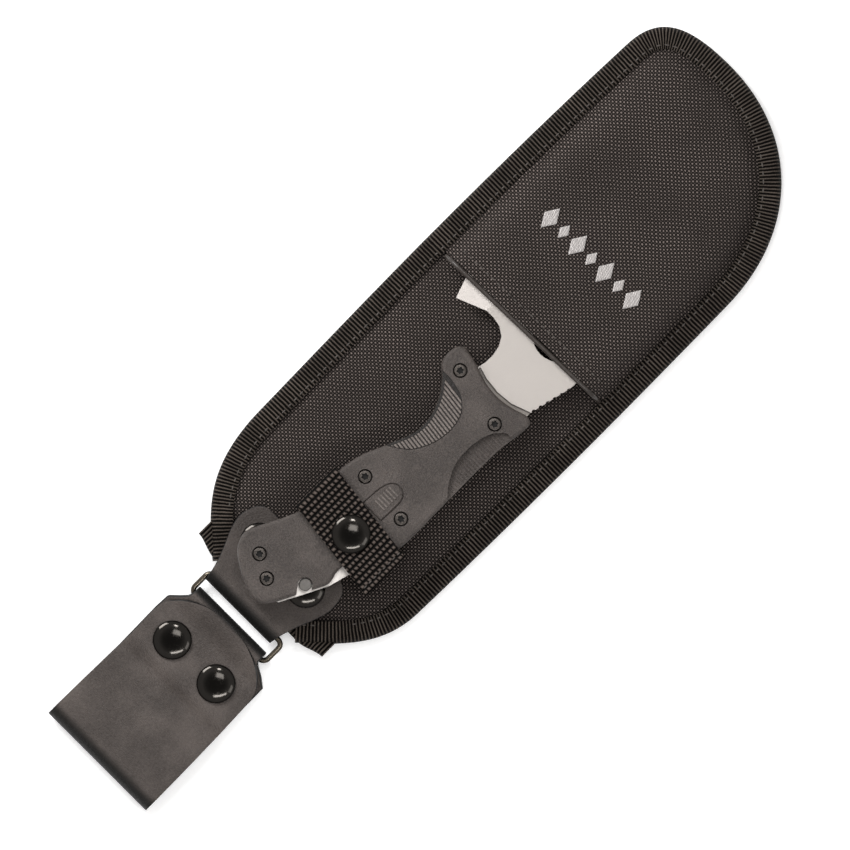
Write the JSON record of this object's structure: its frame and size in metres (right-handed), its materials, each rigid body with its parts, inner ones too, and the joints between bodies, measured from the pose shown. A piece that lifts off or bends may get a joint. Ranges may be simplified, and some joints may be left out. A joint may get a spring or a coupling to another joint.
{
  "type": "multi tool",
  "caption": "Cleaver-headed hunting multi tool with a folding knife in its butt, held by a snapped strap in a padded nylon belt sheath with a leather belt loop.",
  "frame": {"origin": "under the middle of the whole object, on the plane that the sheath's back lies on", "axes": "+Z out of the sheath's front, +Y towards the sheath's closed tip, +X to the right seen from the front with the tip up"},
  "size_m": [0.1024, 0.3665, 0.0319],
  "materials": {
    "nylon": "black ballistic nylon, coarse basket weave",
    "binding_tape": "black ribbed grosgrain tape",
    "webbing": "black ribbed nylon webbing",
    "board": "plain fibre board",
    "trim": "semi-gloss black edge trim",
    "leather": "black grained leather",
    "snap": "gunmetal, polished dome",
    "hardware": "nickel-plated steel",
    "tool_steel": "satin-ground stainless steel",
    "screw": "dark steel screws",
    "grip": "textured black moulded grip",
    "spacer": "plain black plastic",
    "bronze": "phosphor bronze"
  },
  "bodies": {
    "sheath": {"back_panel": "nylon", "stiffener_board": "board", "base_panel": "nylon", "edge_binding": "binding_tape", "bottom_binding": "binding_tape", "pocket_front": "nylon", "mouth_trim": "trim", "hanger_leather": "leather", "hanger_rivet_left": "hardware", "hanger_rivet_right": "hardware", "hanger_cap_left": "snap", "hanger_cap_right": "snap"},
    "ring": {"ring": "hardware"},
    "belt_loop": {"belt_rear": "leather", "belt_stud_left": "hardware", "belt_stud_right": "hardware"},
    "belt_loop_flap": {"belt_flap": "leather", "belt_socket_left": "hardware", "belt_socket_right": "hardware", "belt_cap_left": "snap", "belt_cap_right": "snap"},
    "strap_left": {"strap_left_riser": "webbing"},
    "strap_over": {"strap_flap": "webbing", "strap_socket": "hardware", "strap_cap": "snap"},
    "strap_right": {"strap_right_riser": "webbing"},
    "strap_under": {"strap_tab": "webbing", "strap_stud": "hardware"},
    "tool": {"head_plate": "tool_steel", "grip_scale_front": "grip", "grip_scale_rear": "grip", "liner_front": "hardware", "liner_lock": "hardware", "butt_spacer": "spacer", "pivot_barrel": "hardware", "washer_front": "bronze", "washer_rear": "bronze", "screw_1": "screw", "screw_2": "screw", "screw_3": "screw", "screw_4": "screw", "screw_5": "screw", "screw_6": "screw", "nut_1": "screw", "nut_2": "screw", "nut_3": "screw", "nut_4": "screw", "nut_5": "screw", "nut_6": "screw"},
    "knife": {"knife_blade": "tool_steel", "thumb_stud": "hardware"}
  },
  "joints": [
    {"name": "tool_draw", "type": "slide", "parent": "sheath", "child": "tool", "axis": [0, -0.999, 0.0436], "range_m": [0, 0.128]},
    {"name": "knife_open", "type": "hinge", "parent": "tool", "child": "knife", "pos_m": [-0.0013, -0.08626, 0.02027], "axis": [0, -0.0436, -0.999], "range_deg": [0, 170]},
    {"name": "ring_swing", "type": "hinge", "parent": "sheath", "child": "ring", "pos_m": [0, -0.0997, 0.00495], "axis": [1, 0, 0], "range_deg": [-40, 50]},
    {"name": "belt_loop_swing", "type": "hinge", "parent": "ring", "child": "belt_loop", "pos_m": [0, -0.1101, 0.0036], "axis": [1, 0, 0], "range_deg": [-35, 90]},
    {"name": "belt_flap_open", "type": "hinge", "parent": "belt_loop", "child": "belt_loop_flap", "pos_m": [0, -0.17765, 0.011], "axis": [1, 0, 0], "range_deg": [0, 150]},
    {"name": "strap_left_open", "type": "hinge", "parent": "sheath", "child": "strap_left", "pos_m": [-0.0134, -0.0472, 0.0075], "axis": [0, -1, 0], "range_deg": [0, 80], "deforming": ["strap_left_riser"]},
    {"name": "strap_over_open", "type": "hinge", "parent": "strap_left", "child": "strap_over", "pos_m": [-0.0134, -0.0472, 0.02795], "axis": [0, -1, 0], "range_deg": [0, 80], "deforming": ["strap_flap"]},
    {"name": "strap_right_open", "type": "hinge", "parent": "sheath", "child": "strap_right", "pos_m": [0.0308, -0.0526, 0.0075], "axis": [0, 1, 0], "range_deg": [0, 80], "deforming": ["strap_right_riser"]},
    {"name": "strap_under_open", "type": "hinge", "parent": "strap_right", "child": "strap_under", "pos_m": [0.0308, -0.0526, 0.02625], "axis": [0, 1, 0], "range_deg": [0, 80], "deforming": ["strap_tab"]}
  ],
  "couplings": [
    {"joint": "strap_left_open", "follows": "tool_draw", "rad_per_m": 10.9},
    {"joint": "strap_over_open", "follows": "tool_draw", "rad_per_m": 10.9},
    {"joint": "strap_right_open", "follows": "tool_draw", "rad_per_m": 10.9},
    {"joint": "strap_under_open", "follows": "tool_draw", "rad_per_m": 10.9}
  ]
}
